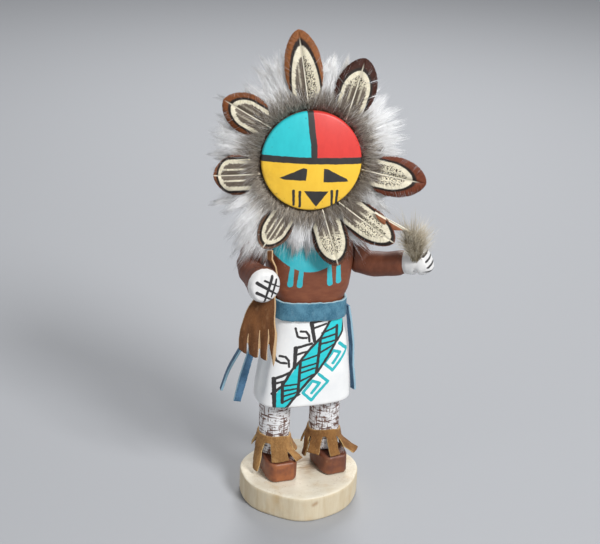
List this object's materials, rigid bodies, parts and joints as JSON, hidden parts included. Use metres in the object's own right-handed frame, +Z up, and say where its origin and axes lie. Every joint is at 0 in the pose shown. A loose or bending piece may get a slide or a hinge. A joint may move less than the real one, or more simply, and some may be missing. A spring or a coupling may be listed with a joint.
{
  "type": "kachina doll",
  "caption": "Carved wooden kachina doll on a round base, with a round sun mask, a fur ruff set with feathers, a painted kilt, a leather bag and fringed ankle cuffs.",
  "frame": {"origin": "centre of the base's underside", "axes": "+Z up through the doll, -Y the way the doll faces, +X to the doll's left"},
  "size_m": [0.1008, 0.0588, 0.231],
  "materials": {
    "base_wood": "bare sanded pale wood",
    "painted_wood": "brown, white and turquoise paint on carved wood, slightly glossy",
    "stained_wood": "red-brown stain, rubbed glossy",
    "tan_leather": "undyed tan suede with pale cut edges",
    "bag_leather": "brown suede with cream cut edges",
    "blue_suede": "slate-blue dyed suede",
    "mask_paint": "yellow, turquoise, red and black paint, satin",
    "fur": "white fur over taupe underfur",
    "feather": "barred feather, matt with a soft sheen"
  },
  "bodies": {
    "root": {"base": "base_wood", "body": "painted_wood", "foot_right": "stained_wood", "foot_left": "stained_wood", "ankle_fringe_right": "tan_leather", "ankle_fringe_left": "tan_leather", "belt": "blue_suede", "hip_tie_right_outer": "blue_suede", "hip_tie_right_inner": "blue_suede", "hip_tie_left": "blue_suede", "arm_right": "painted_wood", "arm_left": "painted_wood", "leather_bag": "bag_leather", "sun_mask": "mask_paint", "fur_ruff": "fur", "feather_1": "feather", "feather_2": "feather", "feather_3": "feather", "feather_4": "feather", "feather_5": "feather", "feather_6": "feather", "feather_7": "feather", "feather_8": "feather", "held_feather": "feather"}
  },
  "joints": []
}
